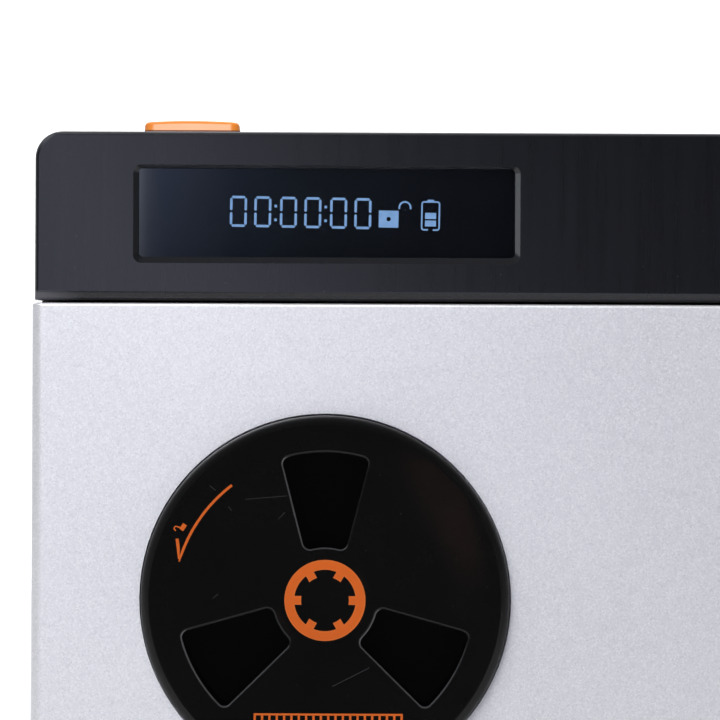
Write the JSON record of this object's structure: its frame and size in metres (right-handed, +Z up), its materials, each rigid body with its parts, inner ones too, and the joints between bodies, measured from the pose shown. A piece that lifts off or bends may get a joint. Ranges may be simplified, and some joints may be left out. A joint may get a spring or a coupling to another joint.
{
  "type": "timed lock container",
  "caption": "Flat upright storage box with a timed lock: a knob-driven bolt in the hinged front door rises into a head that carries a display and a push button.",
  "frame": {"origin": "middle of the footprint, on the surface that the box stands on", "axes": "+X to the user's right and +Z up as they face the door; the door faces -Y"},
  "size_m": [0.19, 0.053, 0.127],
  "materials": {
    "housing_black": "moulded ABS with a fine satin grain",
    "head_black": "satin black moulding",
    "foot_rubber": "soft black rubber",
    "screw_steel": "blackened steel",
    "bright_steel": "ground steel",
    "yoke_steel": "zinc-plated folded sheet",
    "coil_copper": "enamelled copper winding",
    "contact_brass": "sprung contact plate",
    "cell_sleeve": null,
    "inner_black": "plain black moulding",
    "smoked_lens": "smoked clear window",
    "display_dark": "dark segment display",
    "backlight_white": "white light guide",
    "board_green": "solder-masked circuit board",
    "port_metal": "plated receptacle shell",
    "door_silver": "silver metallic paint on moulded plastic",
    "liner_grey": "fine-grained dark panel",
    "knob_black": "glossy black moulding",
    "signal_orange": "orange inlay",
    "button_orange": "semi-gloss orange moulding"
  },
  "bodies": {
    "housing": {"rear_housing": "housing_black", "head_bezel": "head_black", "rubber_feet": "foot_rubber", "case_screws": "screw_steel", "hinge_pin": "bright_steel", "display_lens": "smoked_lens", "display_frame": "inner_black", "display_glass": "display_dark", "display_backlight": "backlight_white", "control_board": "board_green", "board_screws": "screw_steel", "button_switch": "inner_black", "strike_plate": "bright_steel", "solenoid_frame": "yoke_steel", "solenoid_coil": "coil_copper", "solenoid_screws": "screw_steel", "plunger_spring": "bright_steel", "battery_cradle": "inner_black", "battery_cell": "cell_sleeve", "battery_contacts": "contact_brass", "port_board": "board_green", "port_screws": "screw_steel", "charging_port": "port_metal"},
    "door": {"door_shell": "door_silver", "door_liner": "liner_grey", "liner_screws": "screw_steel", "bolt_guide": "inner_black", "guide_screws": "screw_steel"},
    "knob": {"knob_disc": "knob_black", "hub_ring": "signal_orange", "cam_plate": "bright_steel", "cam_washer": "bright_steel", "cam_screw": "screw_steel"},
    "bolt": {"top_bolt": "bright_steel", "bolt_follower": "bright_steel"},
    "plunger": {"lock_plunger": "bright_steel", "plunger_clip": "bright_steel"},
    "button": {"button_cap": "button_orange", "switch_plunger": "inner_black"}
  },
  "joints": [
    {"name": "door_hinge", "type": "hinge", "parent": "housing", "child": "door", "pos_m": [0.0916, -0.00975, 0], "axis": [0, 0, 1], "range_deg": [0, 100]},
    {"name": "knob_turn", "type": "hinge", "parent": "door", "child": "knob", "pos_m": [-0.0474, -0.0235, 0.04955], "axis": [0, 1, 0], "range_deg": [0, 90]},
    {"name": "bolt_slide", "type": "slide", "parent": "door", "child": "bolt", "axis": [0, 0, 1], "range_m": [0, 0.01]},
    {"name": "plunger_slide", "type": "slide", "parent": "housing", "child": "plunger", "axis": [0, -1, 0], "range_m": [0, 0.004], "stiffness_N_per_m": 20, "deforming": ["plunger_spring"]},
    {"name": "button_press", "type": "slide", "parent": "housing", "child": "button", "axis": [0, 0, -1], "range_m": [0, 0.0008], "stiffness_N_per_m": 60}
  ],
  "couplings": [
    {"joint": "bolt_slide", "follows": "knob_turn", "m_per_rad": 0.0063662}
  ]
}
